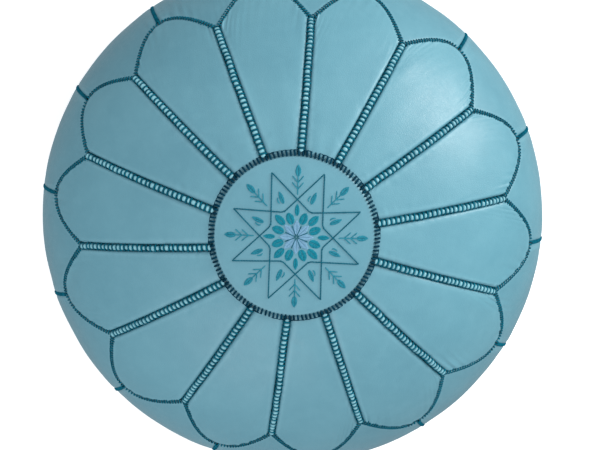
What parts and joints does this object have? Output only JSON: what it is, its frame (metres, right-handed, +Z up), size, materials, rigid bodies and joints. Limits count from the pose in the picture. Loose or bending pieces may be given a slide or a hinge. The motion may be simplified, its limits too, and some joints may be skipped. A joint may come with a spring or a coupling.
{
  "type": "floor pouf",
  "caption": "Round low leather pouf with scalloped petals round an embroidered medallion, stitched side panels, and a zip in the flat base.",
  "frame": {"origin": "the floor under the middle of the base", "axes": "+Z up along the axis of the pouf; +X along the middle of petal_01; the zip runs along X"},
  "size_m": [0.5218, 0.52, 0.3208],
  "materials": {
    "crown_leather": "semi-matt glazed goatskin with fine grain, turquoise",
    "side_leather": "semi-matt glazed goatskin with fine grain, turquoise",
    "welt_leather": "glazed goatskin, stretched and shinier than the panels",
    "base_leather": "plain goatskin, duller and scuffed underneath",
    "seam_thread": "thick waxed twisted thread, dark teal",
    "lacing_thread": "thick waxed twisted thread, near-black teal",
    "embroidery_teal": "twisted silk-like thread, teal",
    "embroidery_pale": "twisted silk-like thread, pale lilac-grey",
    "zip_tape": "woven herringbone polyester tape, dark teal",
    "zip_brass": "dulled brass",
    "liner_cotton": "unbleached cotton",
    "stuffing": "loose cotton and polyester wadding"
  },
  "bodies": {
    "cover": {"petal_01": "crown_leather", "petal_02": "crown_leather", "petal_03": "crown_leather", "petal_04": "crown_leather", "petal_05": "crown_leather", "petal_06": "crown_leather", "petal_07": "crown_leather", "petal_08": "crown_leather", "petal_09": "crown_leather", "petal_10": "crown_leather", "petal_11": "crown_leather", "petal_12": "crown_leather", "petal_13": "crown_leather", "petal_14": "crown_leather", "side_panel_01": "side_leather", "side_panel_02": "side_leather", "side_panel_03": "side_leather", "side_panel_04": "side_leather", "side_panel_05": "side_leather", "side_panel_06": "side_leather", "side_panel_07": "side_leather", "side_panel_08": "side_leather", "side_panel_09": "side_leather", "side_panel_10": "side_leather", "side_panel_11": "side_leather", "side_panel_12": "side_leather", "side_panel_13": "side_leather", "side_panel_14": "side_leather", "radial_welts": "welt_leather", "radial_thread": "seam_thread", "scallop_thread": "seam_thread", "side_seam_thread": "seam_thread", "medallion": "crown_leather", "medallion_lacing": "lacing_thread", "embroidery_star": "embroidery_teal", "embroidery_sprigs": "embroidery_teal", "embroidery_flower": "embroidery_pale", "embroidery_leaves": "embroidery_teal", "base_half_back": "base_leather", "base_half_front": "base_leather", "base_thread": "seam_thread", "zip_stitching": "seam_thread", "zip_tape_back": "zip_tape", "zip_tape_front": "zip_tape", "zip_teeth_back": "zip_brass", "zip_teeth_front": "zip_brass", "zip_stops": "zip_brass", "inner_liner": "liner_cotton", "filling": "stuffing"},
    "zip_slider": {"zip_slider": "zip_brass"},
    "zip_pull": {"zip_pull": "zip_brass"}
  },
  "joints": [
    {"name": "zip_open", "type": "slide", "parent": "cover", "child": "zip_slider", "axis": [-1, 0, 0], "range_m": [0, 0.25]},
    {"name": "pull_swing", "type": "hinge", "parent": "zip_slider", "child": "zip_pull", "pos_m": [0.126, 0, 0.0081], "axis": [0, -1, 0], "range_deg": [0, 180]}
  ]
}
